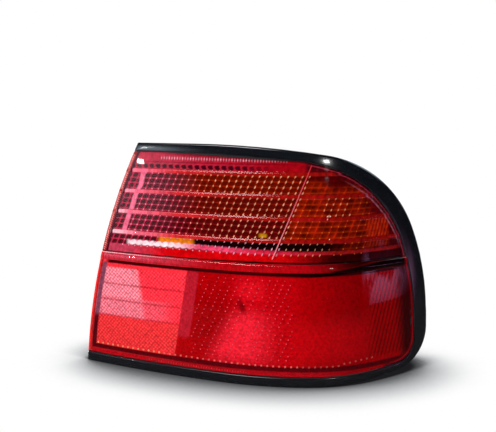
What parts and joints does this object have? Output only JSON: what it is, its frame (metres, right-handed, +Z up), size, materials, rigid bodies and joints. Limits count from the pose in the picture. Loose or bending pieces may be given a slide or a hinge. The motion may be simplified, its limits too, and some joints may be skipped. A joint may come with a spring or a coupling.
{
  "type": "rear combination lamp",
  "caption": "Wrap-round rear lamp cluster for a car: dark ribbed upper lens over a red lower lens in a gloss black housing, with bulb holders and mounting studs behind.",
  "frame": {"origin": "centre of the four mounting studs, on the flat back of the housing", "axes": "+X outboard along the car's tail panel, +Y forward into the car along the studs, +Z up"},
  "size_m": [0.3215, 0.1986, 0.2311],
  "materials": {
    "housing_black": "gloss black moulding",
    "lens_dark_red": "clear gloss, dark red",
    "lens_red": "clear gloss, bright red",
    "lens_amber": "clear gloss, amber",
    "lens_reflex": "clear gloss, prismatic red",
    "sealant": "dark sealing compound",
    "metallised": "bright metallised plastic",
    "zinc_steel": "zinc plated",
    "bulb_amber": "amber glass with a nickel cap",
    "bulb_clear": "clear glass with a nickel cap",
    "holder_grey": "matt grey moulding",
    "seal_rubber": "soft black rubber",
    "contact_brass": "plain brass strip",
    "foam": "closed-cell foam"
  },
  "bodies": {
    "root": {"housing": "housing_black", "lens_upper": "lens_dark_red", "lens_lower": "lens_red", "inner_lens_amber": "lens_amber", "reflex_plate": "lens_reflex", "lens_seal": "sealant", "reflector_turn": "metallised", "reflector_stop": "metallised", "reflector_side": "metallised", "reflector_screws": "zinc_steel", "bulb_turn": "bulb_amber", "bulb_stop_tail": "bulb_clear", "bulb_side_marker": "bulb_clear", "holder_turn": "holder_grey", "holder_stop_tail": "holder_grey", "holder_side_marker": "holder_grey", "holder_seal_turn": "seal_rubber", "holder_seal_stop_tail": "seal_rubber", "holder_seal_side_marker": "seal_rubber", "contacts_turn": "contact_brass", "contacts_stop_tail": "contact_brass", "contacts_side_marker": "contact_brass", "body_gasket": "foam", "studs": "zinc_steel", "vent_caps": "seal_rubber"}
  },
  "joints": []
}
